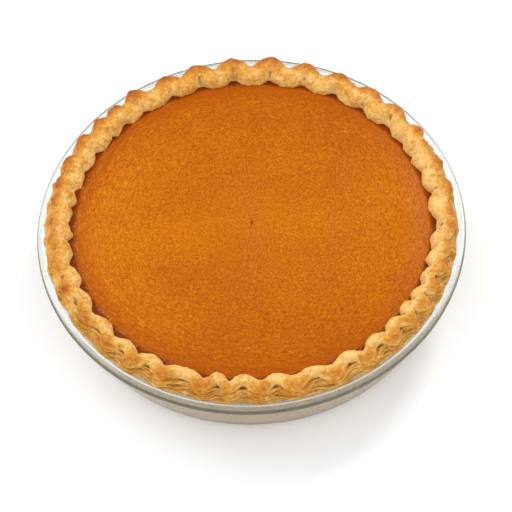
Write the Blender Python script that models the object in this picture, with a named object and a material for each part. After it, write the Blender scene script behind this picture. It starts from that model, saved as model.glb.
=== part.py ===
"""A whole baked pumpkin pie in its own clear glass pie dish.

Three separate pieces, nested with a hair's gap between them: the turned glass dish,
the pastry crust that lines it and stands up round the rim in pinched flutes, and the
filling inside the crust. Metres, +Z up, the origin under the middle of the dish.
"""
from math import cos, exp, pi, radians, sin, tan
import random

import bmesh
import bpy
from mathutils import Vector

# Glass dish
RIM_RADIUS = 0.1230         # outer edge of the rim
DISH_HEIGHT = 0.0450        # table to the top of the rim's bead
FOOT_RADIUS = 0.1098        # where the wall's outer face would meet the table
SHOULDER_RADIUS = 0.1150    # top of the wall, under the flange
FLANGE_UNDERSIDE = 0.0400
FLANGE_TOP = 0.0437
BEAD_INNER_RADIUS = 0.1198
BEAD_ROUNDING = 0.0018
THROAT_RADIUS = 0.1113      # wall's inner face at the flange
WELL_RADIUS = 0.1062        # wall's inner face at the floor
GLASS_FLOOR = 0.0042        # thickness of the dish's floor
FOOT_ROUNDING = 0.0120
WELL_ROUNDING = 0.0085

# Pastry crust
GAP = 0.00045               # clearance between neighbouring pieces
CRUST_FLOOR = 0.0090        # height of the bottom crust's upper face
CRUST_WELL_RADIUS = 0.1012  # crust's inner face at its floor
CRUST_WELL_ROUNDING = 0.0060
FILLING_RADIUS = 0.1042     # crust's inner face at the filling's edge
FILLING_EDGE = 0.0438       # height of the filling's edge
NOTCH_RADIUS = 0.1066       # deepest point between two inner lobes
LOBE_REACH = 0.0046         # how far an inner lobe bulges over the filling
POCKET_RADIUS = 0.1105      # deepest point between two outer crests
CREST_REACH = 0.0080        # how far an outer crest stands out from there
BAND_RADIUS = 0.1170        # folded-under band where it sits on the flange
CREST_HEIGHT = 0.0535
CREST_TILT = 0.0012         # outer crests stand this much higher, inner lobes lower
CREASE = 0.8                # below 1 the lobes are full and the creases sharp
UNEVEN_RISE = 0.0009
UNEVEN_REACH = 0.0007

FLUTES = 40
FLUTE_START = 3.73          # flute phase at +X, in radians
# The flutes are pinched by hand: how their spacing drifts round the rim, as
# (waves round the rim, size in radians of phase, where it peaks in degrees)
PINCH_DRIFT = [(1, 0.72, -35), (2, 3.10, 28), (3, 0.73, -54), (4, 0.50, -6),
               (5, 1.15, -20), (7, 0.67, -16)]

# Filling's top: a low swollen ring near the edge and a slight dip in the middle
EDGE_ROLL = 0.0006          # the top stands this much above where it meets the crust
SWELL_HEIGHT = 0.0010
SWELL_RADIUS = 0.0900
SWELL_WIDTH = 0.0130
CENTRE_DIP = 0.0005
TOP_RADII = [0.1020, 0.0960, 0.0880, 0.0780, 0.0600, 0.0300]

TURNED_COLUMNS = 60
FLUTE_COLUMNS = 6           # columns of faces in each flute
SMOOTH_EVERY = 3            # the crust's smooth rows use every third column


def rounded(corners):
    """Profile through (radius, height, rounding, steps) corners, with true arcs."""
    points = []
    for i, (radius, height, rounding, steps) in enumerate(corners):
        corner = Vector((radius, height))
        if not rounding:
            points.append(corner)
            continue
        back = (Vector(corners[i - 1][:2]) - corner).normalized()
        ahead = (Vector(corners[i + 1][:2]) - corner).normalized()
        half = back.angle(ahead) / 2
        centre = corner + (back + ahead).normalized() * rounding / sin(half)
        start = (corner + back * rounding / tan(half) - centre).normalized()
        end = (corner + ahead * rounding / tan(half) - centre).normalized()
        for k in range(steps + 1):
            points.append(centre + start.slerp(end, k / steps) * rounding)
    return points


def material(name, colour, roughness, transmission=0.0):
    made = bpy.data.materials.new(name)
    made.use_nodes = True
    shader = made.node_tree.nodes["Principled BSDF"]
    shader.inputs["Base Color"].default_value = (*colour, 1)
    shader.inputs["Roughness"].default_value = roughness
    shader.inputs["Metallic"].default_value = 0.0
    shader.inputs["Transmission Weight"].default_value = transmission
    return made


def finish(name, bm, made):
    bmesh.ops.recalc_face_normals(bm, faces=bm.faces)
    mesh = bpy.data.meshes.new(name)
    bm.to_mesh(mesh)
    bm.free()
    mesh.materials.append(made)
    mesh.shade_smooth()
    mesh.set_sharp_from_angle(angle=radians(35))
    obj = bpy.data.objects.new(name, mesh)
    bpy.context.collection.objects.link(obj)
    return obj


def turned(name, profile, made):
    """Solid of revolution: a profile that starts and ends on the axis, spun round it."""
    bm = bmesh.new()
    chain = [bm.verts.new((point.x, 0, point.y)) for point in profile]
    edges = [bm.edges.new(pair) for pair in zip(chain, chain[1:])]
    bmesh.ops.spin(bm, geom=chain + edges, cent=(0, 0, 0), axis=(0, 0, 1),
                   angle=2 * pi, steps=TURNED_COLUMNS, use_merge=True)
    bmesh.ops.remove_doubles(bm, verts=bm.verts, dist=0.00001)
    return finish(name, bm, made)


def make_dish():
    profile = rounded([
        (0, 0, 0, 0),
        (FOOT_RADIUS, 0, FOOT_ROUNDING, 4),
        (SHOULDER_RADIUS, FLANGE_UNDERSIDE, 0.0015, 1),
        (RIM_RADIUS, FLANGE_UNDERSIDE + 0.0004, BEAD_ROUNDING, 2),
        (RIM_RADIUS, DISH_HEIGHT, BEAD_ROUNDING, 2),
        (BEAD_INNER_RADIUS, DISH_HEIGHT, 0.0008, 1),
        (BEAD_INNER_RADIUS - 0.0013, FLANGE_TOP, 0, 0),
        (THROAT_RADIUS, FLANGE_TOP, 0.0016, 2),
        (WELL_RADIUS, GLASS_FLOOR, WELL_ROUNDING, 3),
        (0, GLASS_FLOOR, 0, 0),
    ])
    glass = material("clear_glass", (0.86, 0.90, 0.87), 0.04, transmission=1.0)
    return turned("glass_dish", profile, glass)


def filling_top(radius):
    swell = SWELL_HEIGHT * exp(-((radius - SWELL_RADIUS) / SWELL_WIDTH) ** 2)
    dip = CENTRE_DIP * (1 + cos(pi * min(1, radius / SWELL_RADIUS))) / 2
    return FILLING_EDGE + EDGE_ROLL + swell - dip


def make_filling():
    edge = FILLING_RADIUS - GAP
    sides = rounded([
        (0, CRUST_FLOOR + GAP, 0, 0),
        (CRUST_WELL_RADIUS - GAP, CRUST_FLOOR + GAP, CRUST_WELL_ROUNDING, 2),
        (edge, FILLING_EDGE, 0, 0),
    ])
    top = [Vector((radius, filling_top(radius))) for radius in TOP_RADII + [0]]
    custard = material("baked_custard", (0.60, 0.16, 0.010), 0.38)
    return turned("filling", sides + top, custard)


def flute_phase(angle):
    drift = sum(size * cos(waves * (angle - radians(peak)))
                for waves, size, peak in PINCH_DRIFT)
    return FLUTES * angle + FLUTE_START + drift


def angle_at(phase):
    """The angle round the rim where the flutes reach a phase, by halving."""
    low = high = (phase - FLUTE_START) / FLUTES
    low -= 0.5
    high += 0.5
    for _ in range(40):
        middle = (low + high) / 2
        if flute_phase(middle) < phase:
            low = middle
        else:
            high = middle
    return (low + high) / 2


def between_tips(values, phase):
    """A value for each lobe tip, eased from tip to tip."""
    place = phase / pi
    before = int(place)
    ease = (1 - cos(pi * (place - before))) / 2
    return values[before % len(values)] * (1 - ease) + values[(before + 1) % len(values)] * ease


def rim_section(phase, rise, reach):
    """The fluted ridge at one phase: from the filling's edge over the top to the flange.

    Phase 0 is the tip of an inner lobe, and half a turn on is the tip of an outer crest.
    """
    inner = abs(cos(phase / 2)) ** CREASE
    outer = abs(sin(phase / 2)) ** CREASE
    face = NOTCH_RADIUS - (LOBE_REACH + reach) * inner
    back = POCKET_RADIUS + (CREST_REACH + reach) * outer
    top = CREST_HEIGHT + CREST_TILT * (outer - inner) + rise
    crest = face + (back - face) * (0.50 + 0.12 * outer)
    return [
        (NOTCH_RADIUS - 0.0008 - 0.75 * LOBE_REACH * inner, FILLING_EDGE + 0.0014),
        (face, FILLING_EDGE + 0.0036),
        (face + 0.0012, top - 0.0032),
        (crest, top),
        (back - 0.0030, top - 0.0012),
        (back, FLANGE_TOP + 0.0050),
        (BAND_RADIUS + 0.0012 + 0.0012 * outer, FLANGE_TOP + 0.0022),
        (BAND_RADIUS, FLANGE_TOP + GAP),
    ]


def step_down(bm, fine, coarse):
    """Joins a fluted row to a smooth row that has one column for every three."""
    count = len(coarse)
    for j in range(count):
        a = [fine[(SMOOTH_EVERY * j + k) % len(fine)] for k in range(SMOOTH_EVERY + 1)]
        b, c = coarse[j], coarse[(j + 1) % count]
        bm.faces.new((a[0], a[1], b))
        bm.faces.new((a[1], a[2], c, b))
        bm.faces.new((a[2], a[3], c))


def bridge(bm, first, second):
    for j in range(len(first)):
        k = (j + 1) % len(first)
        bm.faces.new((first[j], first[k], second[k], second[j]))


def ring(bm, radius, height, angles):
    return [bm.verts.new((radius * cos(a), radius * sin(a), height)) for a in angles]


def make_crust():
    rng = random.Random(11)
    rises = [rng.uniform(-UNEVEN_RISE, UNEVEN_RISE) for _ in range(2 * FLUTES)]
    reaches = [rng.uniform(-UNEVEN_REACH, UNEVEN_REACH) for _ in range(2 * FLUTES)]
    columns = FLUTES * FLUTE_COLUMNS
    phases = [2 * pi * j / FLUTE_COLUMNS for j in range(columns)]
    angles = [angle_at(phase) for phase in phases]
    smooth_angles = angles[::SMOOTH_EVERY]

    bm = bmesh.new()
    sections = [rim_section(phase, between_tips(rises, phase), between_tips(reaches, phase))
                for phase in phases]
    ridge = [[bm.verts.new((radius * cos(a), radius * sin(a), height))
              for (radius, height), a in zip(row, angles)]
             for row in zip(*sections)]
    for upper, lower in zip(ridge, ridge[1:]):
        bridge(bm, upper, lower)

    inside = rounded([
        (FILLING_RADIUS, FILLING_EDGE, 0, 0),
        (CRUST_WELL_RADIUS, CRUST_FLOOR, CRUST_WELL_ROUNDING, 2),
        (0, CRUST_FLOOR, 0, 0),
    ])
    outside = rounded([
        (BAND_RADIUS - 0.0010, FLANGE_TOP + GAP, 0, 0),
        (THROAT_RADIUS - GAP, FLANGE_TOP + GAP, 0.0020, 2),
        (WELL_RADIUS - GAP, GLASS_FLOOR + GAP, WELL_ROUNDING, 2),
        (0, GLASS_FLOOR + GAP, 0, 0),
    ])
    for edge_row, profile in ((ridge[0], inside), (ridge[-1], outside)):
        rows = [ring(bm, point.x, point.y, smooth_angles) for point in profile[:-1]]
        step_down(bm, edge_row, rows[0])
        for upper, lower in zip(rows, rows[1:]):
            bridge(bm, upper, lower)
        centre = bm.verts.new((0, 0, profile[-1].y))
        for j, vert in enumerate(rows[-1]):
            bm.faces.new((vert, rows[-1][(j + 1) % len(rows[-1])], centre))
    pastry = material("baked_pastry", (0.72, 0.42, 0.17), 0.62)
    return finish("crust", bm, pastry)


for old in list(bpy.data.objects):
    bpy.data.objects.remove(old, do_unlink=True)
make_dish()
make_crust()
make_filling()
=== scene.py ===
# Pumpkin pie in its glass dish: fine surfaces, materials, floor, light and camera
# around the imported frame. Metres, +Z up, the dish's underside on z = 0.
import random
from math import cos, pi, radians, sin, tan

import bpy
import numpy as np
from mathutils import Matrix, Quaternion, Vector, noise


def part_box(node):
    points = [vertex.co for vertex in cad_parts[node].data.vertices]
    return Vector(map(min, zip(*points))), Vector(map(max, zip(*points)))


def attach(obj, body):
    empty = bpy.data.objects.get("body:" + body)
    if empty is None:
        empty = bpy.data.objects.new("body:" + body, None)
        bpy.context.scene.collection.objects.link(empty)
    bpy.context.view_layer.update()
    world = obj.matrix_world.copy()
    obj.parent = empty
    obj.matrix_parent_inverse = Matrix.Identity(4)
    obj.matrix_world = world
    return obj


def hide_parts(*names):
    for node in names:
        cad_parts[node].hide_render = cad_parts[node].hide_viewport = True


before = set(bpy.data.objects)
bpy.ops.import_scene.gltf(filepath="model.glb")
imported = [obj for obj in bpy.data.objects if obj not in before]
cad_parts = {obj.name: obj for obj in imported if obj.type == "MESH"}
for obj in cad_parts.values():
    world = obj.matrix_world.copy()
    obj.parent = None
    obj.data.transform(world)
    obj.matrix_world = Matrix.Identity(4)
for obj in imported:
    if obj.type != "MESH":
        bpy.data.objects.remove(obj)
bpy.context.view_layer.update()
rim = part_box("glass_dish")[1]        # rim.x is the rim's radius, rim.z its height
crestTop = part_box("crust")[1].z
print("frame loaded, rim", round(rim.x, 4), "crest", round(crestTop, 4))


def deselectAll():
    if bpy.context.object and bpy.context.object.mode != "OBJECT":
        bpy.ops.object.mode_set(mode="OBJECT")
    bpy.ops.object.select_all(action="DESELECT")


def pick(piece):
    deselectAll()
    piece.select_set(True)
    bpy.context.view_layer.objects.active = piece


def named(name):
    piece = bpy.context.object
    piece.name = name
    piece.data.name = name
    return piece


def useModifier(piece, kind, **settings):
    pick(piece)
    modifier = piece.modifiers.new(kind.lower(), kind)
    for key, value in settings.items():
        setattr(modifier, key, value)
    bpy.ops.object.modifier_apply(modifier=modifier.name)


def joinPieces(pieces, name):
    deselectAll()
    for piece in pieces:
        piece.select_set(True)
    bpy.context.view_layer.objects.active = pieces[0]
    bpy.ops.object.join()
    return named(name)


def readPoints(piece):
    points = np.empty(len(piece.data.vertices) * 3)
    piece.data.vertices.foreach_get("co", points)
    return points.reshape(-1, 3)


def readNormals(piece):
    normals = np.empty(len(piece.data.vertices) * 3)
    piece.data.vertices.foreach_get("normal", normals)
    return normals.reshape(-1, 3)


def writePoints(piece, points):
    piece.data.vertices.foreach_set("co", points.astype(np.float32).ravel())
    piece.data.update()


def setAttribute(piece, name, values):
    piece.data.attributes.new(name, "FLOAT", "POINT")
    piece.data.attributes[name].data.foreach_set("value", values.astype(np.float32))


def smoothStep(value, low, high):
    t = np.clip((value - low) / (high - low), 0, 1)
    return t * t * (3 - 2 * t)


def grain(points, size, seed):
    # soft lumps of about the given size, from -1 to 1, at each point
    shift = Vector((seed * 1.7, seed * 2.3, seed * 3.1))
    return np.array([noise.noise(Vector(p) / size + shift) for p in points.tolist()])


def lumps(points, lump, seed):
    # grain for a (size, height) pair, in metres
    size, height = lump
    return grain(points, size, seed) * height


def rounded(corners):
    # (radius, height, rounding, steps) corners to a profile with true arcs
    profile = []
    for i, (radius, height, rounding, steps) in enumerate(corners):
        corner = Vector((radius, height))
        if not rounding:
            profile.append(corner)
            continue
        back = (Vector(corners[i - 1][:2]) - corner).normalized()
        ahead = (Vector(corners[i + 1][:2]) - corner).normalized()
        half = back.angle(ahead) / 2
        centre = corner + (back + ahead).normalized() * rounding / sin(half)
        start = (corner + back * rounding / tan(half) - centre).normalized()
        end = (corner + ahead * rounding / tan(half) - centre).normalized()
        for k in range(steps + 1):
            profile.append(centre + start.slerp(end, k / steps) * rounding)
    return profile


def lathe(name, profile, columns):
    # a disc, extruded up and down and scaled in and out along the profile
    deselectAll()
    first = profile[0]
    bpy.ops.mesh.primitive_circle_add(vertices=columns, radius=first.x,
                                      fill_type="TRIFAN", location=(0, 0, first.y))
    piece = named(name)
    bpy.ops.object.transform_apply(location=True, rotation=True, scale=True)
    bpy.ops.object.mode_set(mode="EDIT")
    bpy.ops.mesh.select_all(action="DESELECT")
    bpy.ops.object.mode_set(mode="OBJECT")
    for edge in piece.data.edges:
        ends = [piece.data.vertices[v].co for v in edge.vertices]
        edge.select = min(end.xy.length for end in ends) > first.x / 2
    bpy.ops.object.mode_set(mode="EDIT")
    bpy.ops.mesh.select_mode(type="EDGE")
    for before, after in zip(profile, profile[1:]):
        bpy.ops.mesh.extrude_region_move(
            TRANSFORM_OT_translate={"value": (0, 0, after.y - before.y)})
        scale = after.x / before.x
        bpy.ops.transform.resize(value=(scale, scale, 1), center_override=(0, 0, 0))
    bpy.ops.mesh.edge_face_add()
    bpy.ops.mesh.poke()
    bpy.ops.mesh.select_all(action="SELECT")
    bpy.ops.mesh.normals_make_consistent(inside=False)
    bpy.ops.object.mode_set(mode="OBJECT")
    return piece


def addNode(tree, kind, inputs=None, **settings):
    made = tree.nodes.new("ShaderNode" + kind)
    for key, value in settings.items():
        setattr(made, key, value)
    for key, value in (inputs or {}).items():
        if isinstance(value, bpy.types.NodeSocket):
            tree.links.new(value, made.inputs[key])
        else:
            made.inputs[key].default_value = value
    return made


def paint(red, green, blue):
    # a colour as seen on screen, 0 to 255, to the linear values that shaders use
    screen = [channel / 255 for channel in (red, green, blue)]
    linear = [c / 12.92 if c < 0.04045 else ((c + 0.055) / 1.055) ** 2.4 for c in screen]
    return (*linear, 1)


def colourRamp(tree, source, stops):
    ramp = addNode(tree, "ValToRGB", {"Fac": source})
    elements = ramp.color_ramp.elements
    while len(elements) < len(stops):
        elements.new(1.0)
    for element, (place, colour) in zip(elements, stops):
        element.position = place
        element.color = colour
    return ramp.outputs["Color"]


def mixColour(tree, factor, first, second, blend="MIX"):
    mixed = addNode(tree, "Mix", {0: factor, 6: first, 7: second},
                    data_type="RGBA", blend_type=blend)
    return mixed.outputs[2]


def attributeNode(tree, name):
    return addNode(tree, "Attribute", attribute_name=name).outputs["Fac"]


def noiseNode(tree, place, scale, **settings):
    return addNode(tree, "TexNoise", {"Vector": place, "Scale": scale, **settings}).outputs["Fac"]


def rangeNode(tree, value, start, end):
    # start and end of the value that comes in, and of the one that goes out
    ends = {"From Min": start[0], "From Max": start[1], "To Min": end[0], "To Max": end[1]}
    return addNode(tree, "MapRange", {"Value": value, **ends}).outputs["Result"]


def calc(tree, operation, *values):
    maths = addNode(tree, "Math", dict(enumerate(values)), operation=operation)
    return maths.outputs[0]


def newMaterial(name):
    made = bpy.data.materials.new(name)
    made.use_nodes = True
    tree = made.node_tree
    return made, tree, tree.nodes["Principled BSDF"]


def wear(piece, made):
    piece.data.materials.clear()
    piece.data.materials.append(made)
    pick(piece)
    bpy.ops.object.shade_smooth()


# The glass dish: flat floor, rounded foot, steep wall, flange and a thick beaded rim
dish = {
    "columns": 256,
    "tint": (246, 250, 248),
    "rimShadeTint": (122, 134, 128),         # the thick bead seen through its outer edge: partly the glass's own grey-green tint, partly painted shade for the dark surroundings it refracts
    "rimShadeEnds": (0.0010, 0.0003),    # inwards from the rim's outermost line
    "roughness": 0.02,
    "ior": 1.48,
}


def makeDish():
    profile = rounded([
        (0.0500, 0.0000, 0, 0),
        (0.1098, 0.0000, 0.0120, 10),
        (0.1150, 0.0400, 0.0015, 5),
        (rim.x, 0.0404, 0.0018, 6),
        (rim.x, rim.z, 0.0018, 6),
        (0.1198, rim.z, 0.0008, 3),
        (0.1185, 0.0437, 0.0008, 3),
        (0.1113, 0.0437, 0.0016, 6),
        (0.1062, 0.0042, 0.0085, 8),
        (0.0500, 0.0042, 0, 0),
    ])
    piece = lathe("glassDish", profile, dish["columns"])
    glass, tree, shader = newMaterial("clearGlass")
    points = readPoints(piece)
    radius = np.hypot(points[:, 0], points[:, 1])
    rimShadeFrom, rimShadeTo = dish["rimShadeEnds"]
    # painted shade: the glass colour turns grey-green towards the rim's outermost line, partly its
    # own tint and partly the dark surroundings it refracts
    setAttribute(piece, "rim", smoothStep(radius, rim.x - rimShadeFrom, rim.x - rimShadeTo))
    edge = attributeNode(tree, "rim")
    tint = mixColour(tree, edge, paint(*dish["tint"]), paint(*dish["rimShadeTint"]))
    tree.links.new(tint, shader.inputs["Base Color"])
    shader.inputs["Roughness"].default_value = dish["roughness"]
    shader.inputs["IOR"].default_value = dish["ior"]
    shader.inputs["Transmission Weight"].default_value = 1.0
    wear(piece, glass)
    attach(piece, "root")
    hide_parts("glass_dish")


makeDish()
print("dish made")

# The pinched edge. Phase 0 is the tip of an inner lobe, pi the tip of an outer crest.
flutes = {
    "count": 40,
    "start": 3.73,              # phase at +X
    # how the hand-pinched spacing drifts: waves round the rim, size, peak in degrees
    "drift": [(1, 0.72, -35), (2, 3.10, 28), (3, 0.73, -54), (4, 0.50, -6),
              (5, 1.15, -20), (7, 0.67, -16)],
    # flutes pinched out of turn: degrees round the rim, spread in degrees, phase
    "nudges": [(29, 8, 2.0), (128, 10, -2.4), (195.5, 6, -1.5), (253, 7.5, -2.1),
               (302, 17, -0.8), (351, 6, 1.8)],
    "pressedAt": 182,           # degrees round the rim where the flutes are pressed together
    "pressedSpread": 34,
}


def near(angle, place, spread):
    # 1 around a place on the rim, in degrees, falling to 0 past its spread
    away = (angle - radians(place) + pi) % (2 * pi) - pi
    return np.exp(-(away / radians(spread)) ** 4)


def flutePhase(angle):
    phase = flutes["count"] * angle + flutes["start"]
    for waves, size, peak in flutes["drift"]:
        phase = phase + size * np.cos(waves * (angle - radians(peak)))
    for place, spread, size in flutes["nudges"]:
        phase = phase + size * near(angle, place, spread)
    return phase


def pressed(angle):
    # 0 where the flutes stand apart, 1 where they are pressed into one lumpy band
    return near(angle, flutes["pressedAt"], flutes["pressedSpread"])


def setBack(angle):
    # -1 along the front, where the ridge sits further in on the dish, to 1 along the back
    return np.tanh(2.2 * (np.sin(angle) + 0.22))


def lobeValues(seed, spread):
    # one random value for each lobe tip, inner and outer, eased from tip to tip
    rng = random.Random(seed)
    values = np.array([rng.uniform(-spread, spread) for _ in range(2 * flutes["count"])])

    def read(phase):
        place = phase / pi
        before = np.floor(place).astype(int)
        ease = (1 - np.cos(pi * (place - before))) / 2
        return (values[before % len(values)] * (1 - ease)
                + values[(before + 1) % len(values)] * ease)
    return read


def ringWave(angle, seed, waves, size):
    # slow unevenness round the rim: a few whole waves with seeded places
    rng = random.Random(seed)
    total = np.zeros_like(angle)
    for count in waves:
        total += np.cos(count * angle + rng.uniform(0, 2 * pi)) / len(waves)
    return size * total


def plainRing(name, radius, columns, around):
    # a thin torus, and each point's angle round it and unit place in its section
    bpy.ops.mesh.primitive_torus_add(major_segments=columns, minor_segments=around,
                                     major_radius=radius, minor_radius=0.001)
    piece = named(name)
    points = readPoints(piece)
    angle = np.arctan2(points[:, 1], points[:, 0])
    across = (np.hypot(points[:, 0], points[:, 1]) - radius) / 0.001
    return piece, angle, across, points[:, 2] / 0.001


def ringPoints(piece, angle, radius, height):
    writePoints(piece, np.column_stack([radius * np.cos(angle), radius * np.sin(angle), height]))


rope = {
    "radius": 0.1099,           # middle of the ridge
    "setBack": 0.0012,          # how much further out it sits at the back, and in at the front
    "wander": 0.0004,           # how far its middle strays from a true circle
    "wave": (0.0028, 0.0033),   # how far the ridge swings in and out, at the front and the back
    "pressedWave": 0.15,        # share of the swing that is lost where the flutes are pressed
    "pressedCrest": 0.45,       # share that the outer crests lose there besides
    "round": (0.05, 0.06),      # inner lobes rounder, outer crests narrower
    "halfWidth": (0.0042, 0.0051),
    "lobeWidth": (-0.0003, 0.0010),     # inner lobes fatter than the crests by this, each way
    "halfHeight": 0.0062,
    "height": 0.0474,           # middle of the ridge above the table
    "lowBack": 0.0005,          # that much lower at the back, and higher at the front
    "tilt": 0.0010,             # outer crests higher, inner lobes lower
    "lean": 0.14,               # the ridge leans outwards
    "squeeze": (0.0003, 0.0015),        # inner lobes swell sideways, closing the creases
    "fullness": 0.88,           # below 1 the section's sides are fuller than an ellipse
    "columns": 1600,
    "around": 28,
    "seat": 0.0436,             # its flat underside, just into the flange
    "voxel": 0.00070,
}


def between(pair, angle):
    # a front and a back value, blended round the rim
    return pair[0] + (pair[1] - pair[0]) * (1 + setBack(angle)) / 2


def ropeMiddle(angle):
    wander = ringWave(angle, 4, (6, 11, 17), rope["wander"])
    return rope["radius"] + rope["setBack"] * setBack(angle) + wander


def makeRope():
    piece, angle, across, upward = plainRing("rope", rope["radius"], rope["columns"],
                                             rope["around"])
    across = np.sign(across) * np.abs(across) ** rope["fullness"]
    upward = np.sign(upward) * np.abs(upward) ** rope["fullness"]
    wiggle = lobeValues(3, 0.15)
    rise = lobeValues(5, 0.0007)
    reach = lobeValues(7, 0.0006)
    plump = lobeValues(9, 0.10)

    def path(a):
        phase = flutePhase(a)
        turn = phase + wiggle(phase)
        swing = between(rope["round"], a) * np.cos(2 * turn) - np.cos(turn)
        swing = np.where(swing > 0, swing * (1 - rope["pressedCrest"] * pressed(a)), swing)
        wave = between(rope["wave"], a) + reach(phase)
        wave = wave * (1 - rope["pressedWave"] * pressed(a))
        return ropeMiddle(a) + wave * swing, swing, phase

    step = 1e-4
    radius, swing, phase = path(angle)
    slope = (path(angle + step)[0] - path(angle - step)[0]) / (2 * step) / radius
    radial = np.stack([np.cos(angle), np.sin(angle)], -1)
    tangent = np.stack([-np.sin(angle), np.cos(angle)], -1)
    normal = (radial - tangent * slope[:, None]) / np.sqrt(1 + slope ** 2)[:, None]
    # at the back the lobes are fat with tight creases, at the front they run as a soft wave
    soft = between((0.75, 0.10), angle)[:, None]
    sideways = normal * (1 - soft) + radial * soft
    wide = between(rope["halfWidth"], angle) * (1 + plump(phase))
    wide = wide - between(rope["lobeWidth"], angle) * swing
    tall = rope["halfHeight"] * (1 + plump(phase) / 2) * upward
    plan = radial * (radius + rope["lean"] * tall)[:, None] + sideways * (wide * across)[:, None]
    squeeze = between(rope["squeeze"], angle) * np.sin(phase) * smoothStep(-across, -0.4, 0.6)
    plan += tangent * squeeze[:, None]
    height = rope["height"] - rope["lowBack"] * setBack(angle)
    height = height + tall + rope["tilt"] * swing + rise(phase)
    writePoints(piece, np.column_stack([plan, np.maximum(height, rope["seat"])]))
    return piece


band = {
    "inner": 0.1061,            # its face at the bottom of the notches
    "middle": 0.1120,
    "outer": 0.1148,
    "outerBack": 0.0010,        # that much further out at the back, and in at the front
    "follow": 0.0016,           # it reaches out under the crests
    "top": 0.0478,
    "backUp": 0.0014,           # higher at the back, closing the creases between the lobes
    "pressedOut": 0.0034,       # where the flutes are pressed it reaches this much further
    "pressedUp": 0.0019,
    "uneven": 0.0006,
    "columns": 720,
    "around": 24,
}


def makeBand():
    # the dough under the ridge: folded under on the flange, filling the notches
    piece, angle, across, upward = plainRing("band", band["middle"], band["columns"],
                                             band["around"])
    across = np.sign(across) * np.abs(across) ** 0.8
    outer = band["outer"] + band["pressedOut"] * pressed(angle)
    outer += band["outerBack"] * setBack(angle)
    outer -= band["follow"] * np.cos(flutePhase(angle)) * (1 - pressed(angle))
    outer += ringWave(angle, 2, (5, 9, 14, 23), band["uneven"])
    inner = band["inner"] + ringWave(angle, 6, (8, 13, 21), 0.0005)
    radius = inner + (outer - inner) * (1 + across) / 2
    top = band["top"] + between((0, band["backUp"]), angle)
    top += band["pressedUp"] * pressed(angle) + ringWave(angle, 12, (7, 16, 27), band["uneven"])
    height = rope["seat"] + (top - rope["seat"]) * np.maximum(upward, 0)
    ringPoints(piece, angle, radius, height)
    return piece


browning = {
    "heights": (0.0470, 0.0540),    # from here up the oven reaches the dough
    "high": 0.16,
    "outward": (0.38, 0.46),        # towards the outer crests, at the front and the back
    "pastCrest": 0.20,              # the crests' outer sides stay paler
    "ridgeReach": 0.0078,           # from the ridge's middle to its crests' tips
    "side": 0.14, "sideAt": 115,    # browner on one side of the pie, degrees round the rim
    "bulge": 0.10, "fullBulge": 0.0006,
    "closeTurns": 24, "wideTurns": 64,      # smoothing turns that find small and wide hollows, for the painted shade in them
    "smallHollow": (0.00015, 0.0007),
    "wideHollow": (0.0003, 0.0013),
}


def edgeToast(piece):
    # how browned each point is: high, outward and bulging dough browns first
    points = readPoints(piece)
    edges = np.empty(len(piece.data.edges) * 2, int)
    piece.data.edges.foreach_get("vertices", edges)
    edges = edges.reshape(-1, 2)
    ones = np.bincount(edges.ravel(), minlength=len(points))[:, None]
    soft = points.copy()
    closely = None
    for turn in range(browning["wideTurns"]):
        if turn == browning["closeTurns"]:
            closely = soft
        total = np.zeros_like(soft)
        for axis in range(3):
            for here, there in ((0, 1), (1, 0)):
                total[:, axis] += np.bincount(edges[:, here], soft[edges[:, there], axis],
                                              len(points))
        soft = total / ones
    normals = readNormals(piece)
    bulge = ((points - closely) * normals).sum(1)
    hollow = ((soft - points) * normals).sum(1)
    radius = np.hypot(points[:, 0], points[:, 1])
    angle = np.arctan2(points[:, 1], points[:, 0])
    high = smoothStep(points[:, 2], *browning["heights"])
    # -1 at the inner lobes' tips, 1 at the outer crests'
    place = (radius - ropeMiddle(angle)) / browning["ridgeReach"]
    outward = smoothStep(place, -0.4, 0.8) * (0.35 + 0.65 * high)
    toast = browning["high"] * high + between(browning["outward"], angle) * outward
    toast -= browning["pastCrest"] * smoothStep(place, 0.85, 1.2) * (1 - 0.6 * high)
    toast += browning["side"] * np.cos(angle - radians(browning["sideAt"]))
    toast += np.clip(bulge / browning["fullBulge"], -1, 1) * browning["bulge"]
    setAttribute(piece, "toast", np.clip(toast, 0, 1))
    # painted shade: hollows and creases are marked to be coloured darker, where shade would fall
    setAttribute(piece, "creaseShade", np.maximum(smoothStep(-bulge, *browning["smallHollow"]),
                                             smoothStep(hollow, *browning["wideHollow"])))


pastry = {
    "pale": (234, 192, 116),
    "golden": (210, 147, 54),
    "brown": (184, 103, 18),
    "dark": (124, 58, 8),
    # painted shade: the dark brown that hollows and creases are coloured
    "creaseShade": (118, 52, 6),
    "roughness": 0.38,
    "gloss": 0.20,
    "patches": 180.0, "specks": 560.0, "specked": 0.60,     # noise scales, and how strong
    "pits": 1100.0, "blisters": 420.0, "flakes": 240.0,
    "creased": 0.75,
}


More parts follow.
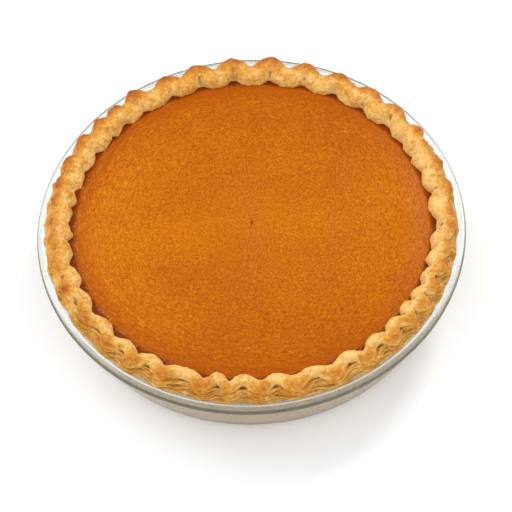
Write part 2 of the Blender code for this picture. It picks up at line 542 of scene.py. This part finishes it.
def makePastry(name, base=0.0, blotch=0.90, pale=pastry["pale"]):
    made, tree, shader = newMaterial(name)
    place = addNode(tree, "TexCoord").outputs["Object"]
    toast = attributeNode(tree, "toast")
    creaseShade = attributeNode(tree, "creaseShade")
    patches = noiseNode(tree, place, pastry["patches"], Detail=5.0, Roughness=0.6)
    specks = noiseNode(tree, place, pastry["specks"], Detail=3.0, Distortion=0.6)
    level = calc(tree, "ADD", toast, base)
    for spots, size in ((patches, blotch), (specks, pastry["specked"])):
        level = calc(tree, "ADD", level, calc(tree, "MULTIPLY_ADD", spots, size, -size / 2))
    colour = colourRamp(tree, level, [
        (0.06, paint(*pale)), (0.34, paint(*pastry["golden"])),
        (0.66, paint(*pastry["brown"])), (1.00, paint(*pastry["dark"]))])
    # painted shade: hollows darken towards the crease shade colour
    inCreaseShade = calc(tree, "MULTIPLY", creaseShade, pastry["creased"])
    creased = mixColour(tree, inCreaseShade, colour, paint(*pastry["creaseShade"]))
    tree.links.new(creased, shader.inputs["Base Color"])
    shader.inputs["Roughness"].default_value = pastry["roughness"]
    shader.inputs["Specular IOR Level"].default_value = pastry["gloss"]
    pits = noiseNode(tree, place, pastry["pits"], Detail=3.0)
    blisters = noiseNode(tree, place, pastry["blisters"], Detail=2.0)
    flakes = noiseNode(tree, place, pastry["flakes"], Detail=4.0, Distortion=2.0)
    relief = calc(tree, "MULTIPLY_ADD", blisters, 2.0, pits)
    relief = calc(tree, "MULTIPLY_ADD", flakes, 4.0, relief)
    bump = addNode(tree, "Bump", {"Height": relief, "Strength": 0.75, "Distance": 0.0005})
    tree.links.new(bump.outputs["Normal"], shader.inputs["Normal"])
    return made


# Hand-made unevenness of the dough: size of the lumps, and how high they stand
dough = {
    "lumps": (0.0060, 0.00055),
    "smallLumps": (0.0026, 0.00034),
    "crumbs": (0.0016, 0.00018),
    "crumbsFrom": (0.0480, 0.0530),     # heights between which the crumbs set in
    "folds": (0.0032, 0.00070),         # where the flutes are pressed
}


def makeRidge():
    piece = joinPieces([makeRope(), makeBand()], "crustRidge")
    useModifier(piece, "REMESH", mode="VOXEL", voxel_size=rope["voxel"], adaptivity=0.0)
    useModifier(piece, "SMOOTH", factor=0.5, iterations=6)
    points = readPoints(piece)
    angle = np.arctan2(points[:, 1], points[:, 0])
    above = smoothStep(points[:, 2], rope["seat"], rope["seat"] + 0.0015)
    uneven = lumps(points, dough["lumps"], 1) + lumps(points, dough["smallLumps"], 2)
    crumbs = lumps(points, dough["crumbs"], 3) * smoothStep(points[:, 2], *dough["crumbsFrom"])
    folds = lumps(points, dough["folds"], 4) * pressed(angle)
    lift = (uneven + crumbs + folds) * above
    writePoints(piece, points + readNormals(piece) * lift[:, None])
    edgeToast(piece)
    wear(piece, makePastry("bakedPastry"))
    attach(piece, "root")
    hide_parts("crust")
    return piece


ridge = makeRidge()
print("ridge made:", len(ridge.data.polygons), "faces")

# Thin torn layers of dough that show under and between the outer crests
layers = {
    "count": 5,
    "low": 0.0445,
    "high": 0.0491,
    "middle": 0.1120,
    "outer": 0.1182,
    "recede": (0.0012, 0.0060),     # the top layer ends this much further in, at crests and between
    "follow": 0.0007,           # how far every edge follows the crests
    "thick": 0.00040,
    "ragged": (0.0060, 0.0014), "torn": (0.0018, 0.0004),       # size and height, outwards
    "sag": (0.0140, 0.0010), "ripple": (0.0045, 0.0006),        # size and height, upwards
    "reach": (0.1124, 0.1194),  # no layer ends further in or out than this
    "lowestReach": 0.1184,
    "columns": 900,
}


def makeLayer(index):
    share = index / (layers["count"] - 1)
    piece, angle, across, upward = plainRing("layer", layers["middle"], layers["columns"], 14)
    phase = flutePhase(angle)
    swing = -np.cos(phase + 0.5 * sin(3 * index) + lobeValues(60 + index, 0.9)(phase))
    ring = np.column_stack([np.cos(angle), np.sin(angle), np.zeros_like(angle)]) * layers["middle"]
    ragged = lumps(ring, layers["ragged"], 10 + index) + lumps(ring, layers["torn"], 20 + index)
    atCrest, atNotch = layers["recede"]
    recede = (atCrest + (atNotch - atCrest) * (1 - swing) / 2) * (1 - 0.6 * pressed(angle))
    outer = layers["outer"] - recede * share + layers["follow"] * swing + ragged
    inmost, outmost = layers["reach"]
    outer = np.clip(outer, inmost, outmost if index else layers["lowestReach"])
    radius = layers["middle"] + np.maximum(across, -0.1) * (outer - layers["middle"])
    edgeward = np.clip(across, 0, 1)
    sag = lumps(ring, layers["sag"], 30 + index) + lumps(ring, layers["ripple"], 40 + index)
    droop = (sag + layers["follow"] * swing * share) * edgeward * min(1, share + 0.3)
    height = layers["low"] + (layers["high"] - layers["low"]) * share
    height = height + upward * layers["thick"] + droop
    ringPoints(piece, angle, radius, np.maximum(height, rope["seat"]))
    setAttribute(piece, "toast", 0.10 + 0.14 * share + 0.10 * smoothStep(across, 0.8, 1.0))
    # painted shade: darker further in under each layer's torn edge, in the gaps between the layers
    setAttribute(piece, "creaseShade", 0.55 * smoothStep(outer - radius, 0.0007, 0.0018))
    return piece


def makeLayers():
    piece = joinPieces([makeLayer(k) for k in range(layers["count"])], "crustLayers")
    wear(piece, makePastry("flakyPastry", base=0.08))
    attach(piece, "root")
    return piece


makeLayers()
print("layers made")


def makeShell():
    # the bottom and side crust, pressed against the glass with no air between
    seat = 0.00012
    profile = rounded([
        (0.0500, 0.0042 - seat, 0, 0),
        (0.1062 + seat, 0.0042 - seat, 0.0086, 8),
        (0.1113 + seat, 0.0420, 0, 0),
        (0.1113 + seat, 0.0437 - seat, 0, 0),
        (0.1150, 0.0437 - seat, 0, 0),
        (0.1150, 0.0452, 0.0006, 2),
        (0.1066, 0.0438, 0.0006, 2),
        (0.1060, 0.0380, 0, 0),
        (0.1012, 0.0090, 0.0060, 6),
        (0.0500, 0.0090, 0, 0),
    ])
    piece = lathe("crustShell", profile, 192)
    setAttribute(piece, "toast", np.full(len(piece.data.vertices), 0.10))
    setAttribute(piece, "creaseShade", np.zeros(len(piece.data.vertices)))
    wear(piece, makePastry("bottomPastry", base=-0.05, blotch=0.40, pale=(224, 202, 172)))
    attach(piece, "root")
    return piece


makeShell()
print("shell made")

custard = {
    "low": 0.0094,
    "edge": 0.1024,             # radius where the skin rolls down to the glaze
    "edgeBack": 0.0006,         # that much further in at the back, and out at the front
    "shrunk": 0.0016,           # on the left it has drawn this much further from the crust
    "shrunkAt": 195, "shrunkSpread": 66,
    "height": 0.0449,
    "swell": 0.0009, "swellAt": 0.0905, "swellWidth": 0.0120,
    "dip": 0.0005,
    "drop": 0.0007,             # the glazed gutter lies this much lower
    "waves": (0.0160, 0.00025), "smallWaves": (0.0060, 0.00008),    # size and height
    "wrinkles": (0.0013, 0.00008), "beads": (0.0011, 0.00016), "ragged": (0.0030, 0.0002),
    "columns": 480,
    "ringStep": 0.00085,
    "slit": (0.0006, 0.0010), "slitLength": 0.0044, "slitWidth": 0.0012, "slitDepth": 0.0005,
    "slitBend": 0.0005, "slitLips": 0.00022,
    "colour": (182, 97, 1), "light": (206, 124, 6), "deep": (156, 74, 0),
    "edgeColour": (158, 72, 0),
    "glazeAndShade": (146, 60, 10), "glazeDeep": (96, 38, 8), "slitColour": (126, 46, 0),
    "bead": (206, 132, 84),
    "streakHighlight": (236, 154, 36),
    "roughness": (0.33, 0.16),  # the dry skin's and the glaze's
    "gloss": 0.08,
}


def makeFilling():
    low = custard["low"]
    fine = [0.0007 + 0.0005 * k for k in range(12)]
    step = custard["ringStep"]
    rings = int((0.0995 - fine[-1]) / step)
    radii = fine + [fine[-1] + step * (k + 1) for k in range(rings)]
    lip = [0.0999 + 0.00035 * k for k in range(14)] + [0.1056, 0.1064]
    sides = [Vector((0.0400, low)), Vector((0.0990, low)), Vector((0.1014, low + 0.0030)),
             Vector((0.1064, custard["height"] - 0.0030))]
    top = [Vector((radius, custard["height"])) for radius in (radii + lip)[::-1]]
    piece = lathe("pumpkinFilling", sides + top, custard["columns"])
    points = readPoints(piece)
    radius = np.hypot(points[:, 0], points[:, 1])
    angle = np.arctan2(points[:, 1], points[:, 0])
    onTop = points[:, 2] > custard["height"] - 1e-5
    flat = points * np.array([1, 1, 0])
    edge = custard["edge"] + ringWave(angle, 8, (4, 7, 11, 18, 31), 0.0005)
    edge -= custard["edgeBack"] * np.sin(angle)
    edge -= custard["shrunk"] * near(angle, custard["shrunkAt"], custard["shrunkSpread"])
    edge += lumps(flat, custard["ragged"], 55)
    swell = custard["swell"] * (1 + 0.6 * near(angle, 5, 60))
    swell *= np.exp(-((radius - custard["swellAt"]) / custard["swellWidth"]) ** 2)
    dip = custard["dip"] * (1 + np.cos(pi * np.clip(radius / custard["swellAt"], 0, 1))) / 2
    gutter = smoothStep(radius, edge - 0.0007, edge + 0.0009)
    waves = lumps(flat, custard["waves"], 50) + lumps(flat, custard["smallWaves"], 51)
    stretched = flat * np.array([1.0, 0.40, 1.0])
    wrinkles = lumps(stretched, custard["wrinkles"], 52) * smoothStep(radius, 0.030, 0.085)
    pastEdge = radius - edge - 0.0004
    beads = lumps(flat, custard["beads"], 53) * np.exp(-(pastEdge / 0.0012) ** 2)
    lift = swell - dip - custard["drop"] * gutter + waves + wrinkles * (1 - gutter) + beads
    along = (points[:, 1] - custard["slit"][1]) / (custard["slitLength"] / 2)
    bend = custard["slit"][0] + custard["slitBend"] * along
    aside = (points[:, 0] - bend) / (custard["slitWidth"] / 2)
    fromSlit = np.hypot(along, aside)
    slit = smoothStep(1.25 - fromSlit, 0.0, 0.7)
    lips = custard["slitLips"] * np.exp(-((fromSlit - 1.7) / 0.5) ** 2)
    lift += lips - custard["slitDepth"] * slit
    points[:, 2] += np.where(onTop, lift, 0)
    writePoints(piece, points)
    # the gutter's dark caramel band: partly the glaze's own colour, partly painted shade under the
    # crust's lobes, widest at the back
    glazed = edge + between((0.0010, 0.0024), angle)
    setAttribute(piece, "glazeAndShade", smoothStep(radius, edge - 0.0004, glazed))
    # painted highlights along the edge, strongest on the left and faint on the right
    beaded = np.exp(-(pastEdge / 0.0011) ** 2) * (0.65 - 0.35 * np.cos(angle - radians(10)))
    setAttribute(piece, "beaded", beaded)
    # painted highlights: pale streaks where the skin's wrinkles catch the light, strongest on the
    # left and faint on the right
    streakHighlightMask = smoothStep(radius, 0.050, 0.080) * (0.25 + 0.75 * near(angle, 180, 62))
    setAttribute(piece, "streakHighlightMask", streakHighlightMask * (1 - 0.8 * near(angle, 0, 60)))
    browner = 0.6 - 0.4 * np.cos(angle) + 0.5 * np.maximum(np.sin(angle), 0)
    setAttribute(piece, "nearEdge", smoothStep(radius, edge - 0.0130, edge) * browner)
    setAttribute(piece, "slit", slit)
    return piece


def makeCustard():
    made, tree, shader = newMaterial("bakedCustard")
    place = addNode(tree, "TexCoord").outputs["Object"]
    glazeAndShade = attributeNode(tree, "glazeAndShade")
    # the skin's fine wrinkles run round the middle: noise over radius and angle
    axes = addNode(tree, "SeparateXYZ", {"Vector": place}).outputs
    along = calc(tree, "ARCTAN2", axes["X"], calc(tree, "MULTIPLY", axes["Y"], -1.0))
    radius = addNode(tree, "VectorMath", {0: place}, operation="LENGTH").outputs["Value"]

    def around(stretch):
        turned = calc(tree, "MULTIPLY", along, stretch)
        return addNode(tree, "CombineXYZ", {"X": radius, "Y": turned}).outputs[0]

    fine = noiseNode(tree, around(0.034), 1000.0, Detail=2.0, Roughness=0.6, Distortion=1.2)
    mottle = noiseNode(tree, place, 900.0, Detail=2.0, Roughness=0.6, Distortion=0.6)
    cloud = noiseNode(tree, place, 26.0, Detail=3.0)
    outwards = rangeNode(tree, radius, (0.020, 0.060), (0.0, 0.62))
    texture = addNode(tree, "Mix", {0: outwards, 2: mottle, 3: fine}).outputs[0]
    level = calc(tree, "ADD", texture, calc(tree, "MULTIPLY_ADD", cloud, 0.14, -0.07))
    level = calc(tree, "SUBTRACT", level, calc(tree, "ABSOLUTE", axes["Y"]))
    colour = colourRamp(tree, level, [
        (0.36, paint(*custard["deep"])), (0.50, paint(*custard["colour"])),
        (0.66, paint(*custard["light"]))])
    browned = calc(tree, "MULTIPLY", attributeNode(tree, "nearEdge"), 0.7)
    colour = mixColour(tree, browned, colour, paint(*custard["edgeColour"]))
    # painted highlights: long thin pale lines where the wrinkles catch the light, along the line
    # where a coarser noise crosses its middle
    drawn = noiseNode(tree, around(0.016), 560.0, Detail=2.0, Distortion=1.0)
    offLine = calc(tree, "ABSOLUTE", calc(tree, "SUBTRACT", drawn, 0.5))
    thin = rangeNode(tree, offLine, (0.0, 0.035), (0.38, 0.0))
    streakHighlights = calc(tree, "MULTIPLY", attributeNode(tree, "streakHighlightMask"), thin)
    colour = mixColour(tree, streakHighlights, colour, paint(*custard["streakHighlight"]))
    # partly the caramel's own colour, partly painted shade where the crust's lobes hang over the
    # edge
    caramel = mixColour(tree, mottle, paint(*custard["glazeDeep"]), paint(*custard["glazeAndShade"]))
    colour = mixColour(tree, glazeAndShade, colour, caramel)
    # painted highlights: pale glints where the wet edge catches the light, here and there
    here = calc(tree, "MULTIPLY_ADD", noiseNode(tree, place, 120.0, Detail=2.0), 4.0, -1.5)
    beaded = calc(tree, "MULTIPLY", attributeNode(tree, "beaded"), here)
    glints = rangeNode(tree, noiseNode(tree, place, 1000.0, Detail=1.0), (0.55, 0.63), (0.0, 1.0))
    colour = mixColour(tree, calc(tree, "MULTIPLY", glints, beaded), colour,
                       paint(*custard["bead"]))
    inSlit = calc(tree, "MULTIPLY", attributeNode(tree, "slit"), 0.8)
    colour = mixColour(tree, inSlit, colour, paint(*custard["slitColour"]))
    tree.links.new(colour, shader.inputs["Base Color"])
    rough = rangeNode(tree, glazeAndShade, (0.0, 1.0), custard["roughness"])
    tree.links.new(rough, shader.inputs["Roughness"])
    shader.inputs["Specular IOR Level"].default_value = custard["gloss"]
    bump = addNode(tree, "Bump", {"Height": texture, "Strength": 0.50, "Distance": 0.0006})
    tree.links.new(bump.outputs["Normal"], shader.inputs["Normal"])
    return made


filling = makeFilling()
wear(filling, makeCustard())
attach(filling, "root")
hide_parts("filling")
print("filling made:", len(filling.data.polygons), "faces")

camera = {
    "distance": 1.0,
    "elevation": 55.14,
    "roll": -3.33,
    "lens": 122.3,
    "below": 0.0025,            # it turns about a point this far under the rim
    "aim": (0.0018, -0.0212),   # where the view's middle meets the level of that point
    "sensor": 36,
}

studio = {
    "floor": (251, 251, 251),
    "bright": 1.32,             # the room's white
    "dim": 0.30,                # a darker patch, high at the back
    "dimTowards": (0.0, 0.57, 0.82),
    "dimEnds": (0.55, 0.95),    # where it sets in and where it is darkest, as cosines
    "aim": (0, 0, 0.04),
    "keyLight": {"place": (-1.10, 0.80, 1.50), "size": 1.5, "energy": 15.0},
    # this one's reflection lies on the right side of the filling
    "sheenLight": {"place": (0.85, 1.12, 1.50), "size": 0.55, "energy": 14.0},
}


def makeStage():
    deselectAll()
    bpy.ops.mesh.primitive_plane_add(size=8, location=(0, 0, 0))
    floor = named("floor")
    matt, tree, shader = newMaterial("paleFloor")
    shader.inputs["Base Color"].default_value = paint(*studio["floor"])
    shader.inputs["Roughness"].default_value = 0.9
    shader.inputs["Specular IOR Level"].default_value = 0.2
    floor.data.materials.append(matt)

    world = bpy.data.worlds.new("studio")
    bpy.context.scene.world = world
    world.use_nodes = True
    tree = world.node_tree
    sky = addNode(tree, "TexCoord").outputs["Generated"]
    side = addNode(tree, "VectorMath", {0: sky, 1: studio["dimTowards"]},
                   operation="DOT_PRODUCT").outputs["Value"]
    shade = rangeNode(tree, side, studio["dimEnds"], (studio["bright"], studio["dim"]))
    background = tree.nodes["Background"]
    background.inputs["Color"].default_value = (1, 1, 1, 1)
    tree.links.new(shade, background.inputs["Strength"])

    for name in ("keyLight", "sheenLight"):
        light = studio[name]
        place = Vector(light["place"])
        bpy.ops.object.light_add(type="AREA", location=place)
        lamp = bpy.context.object
        lamp.name = name
        lamp.data.size = light["size"]
        lamp.data.energy = light["energy"]
        aim = Vector(studio["aim"]) - place
        lamp.rotation_euler = aim.to_track_quat("-Z", "Y").to_euler()
    bpy.context.scene.view_settings.view_transform = "Standard"


def makeCamera():
    middle = Vector((0, 0, rim.z - camera["below"]))
    tilt = radians(camera["elevation"])
    place = middle + camera["distance"] * Vector((0, -cos(tilt), sin(tilt)))
    target = middle + Vector((*camera["aim"], 0))
    bpy.ops.object.camera_add(location=place)
    view = bpy.context.object
    turn = (target - place).to_track_quat("-Z", "Y")
    view.rotation_euler = (turn @ Quaternion((0, 0, 1), radians(camera["roll"]))).to_euler()
    view.data.lens = camera["lens"]
    view.data.sensor_width = camera["sensor"]
    bpy.context.scene.camera = view


makeStage()
makeCamera()
print("stage and camera set")
